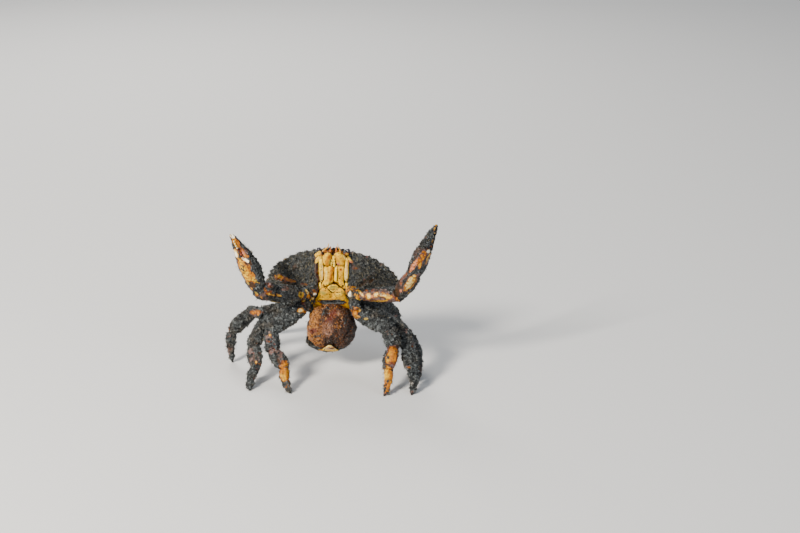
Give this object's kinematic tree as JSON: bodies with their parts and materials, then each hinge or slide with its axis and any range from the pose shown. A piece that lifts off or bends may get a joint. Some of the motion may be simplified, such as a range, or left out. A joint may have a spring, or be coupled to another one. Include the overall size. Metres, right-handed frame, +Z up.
{
  "type": "dungeness crab",
  "caption": "Life-size model of an egg-bearing female Dungeness crab caked in mud, reared up on her legs with both claws raised and spread.",
  "frame": {"origin": "on the floor, under the middle of the crab's overall box", "axes": "+Z up; the mouth and belly face -Y; +X is the crab's own left"},
  "size_m": [0.2405, 0.1788, 0.1787],
  "materials": {
    "shell": "rough brown shell caked with dark grey gritty mud",
    "belly": "satin cream and orange underside shell",
    "mouth": "satin cream-yellow shell with brown seams",
    "limb": "shell under grey mud, with mauve and orange showing",
    "claw": "satin orange and cream shell with white teeth and tips",
    "eggs": "wet rust-brown beads",
    "eye": "glossy black"
  },
  "bodies": {
    "root": {"carapace": "shell", "breastplate": "belly", "tail_flap": "belly", "tail_tip": "belly", "egg_mass": "eggs", "mouth_plate_left": "mouth", "mouth_side_plate_left": "mouth", "eye_left": "eye", "feeler_left": "mouth", "little_feeler_left": "mouth", "mouth_plate_right": "mouth", "mouth_side_plate_right": "mouth", "eye_right": "eye", "feeler_right": "mouth", "little_feeler_right": "mouth", "left_claw_merus": "limb", "left_claw_carpus": "limb", "left_claw_palm": "claw", "left_claw_finger": "claw", "right_claw_merus": "limb", "right_claw_carpus": "limb", "right_claw_palm": "claw", "right_claw_finger": "claw", "left_leg_1_merus": "limb", "left_leg_1_carpus": "limb", "left_leg_1_propodus": "limb", "left_leg_1_dactyl": "claw", "left_leg_2_merus": "limb", "left_leg_2_carpus": "limb", "left_leg_2_propodus": "limb", "left_leg_2_dactyl": "claw", "left_leg_3_merus": "limb", "left_leg_3_carpus": "limb", "left_leg_3_propodus": "limb", "left_leg_3_dactyl": "claw", "left_leg_4_merus": "limb", "left_leg_4_carpus": "limb", "left_leg_4_propodus": "limb", "left_leg_4_dactyl": "claw", "right_leg_1_merus": "limb", "right_leg_1_carpus": "limb", "right_leg_1_propodus": "limb", "right_leg_1_dactyl": "claw", "right_leg_2_merus": "limb", "right_leg_2_carpus": "limb", "right_leg_2_propodus": "limb", "right_leg_2_dactyl": "claw", "right_leg_3_merus": "limb", "right_leg_3_carpus": "limb", "right_leg_3_propodus": "limb", "right_leg_3_dactyl": "claw", "right_leg_4_merus": "limb", "right_leg_4_carpus": "limb", "right_leg_4_propodus": "limb", "right_leg_4_dactyl": "claw"}
  },
  "joints": []
}
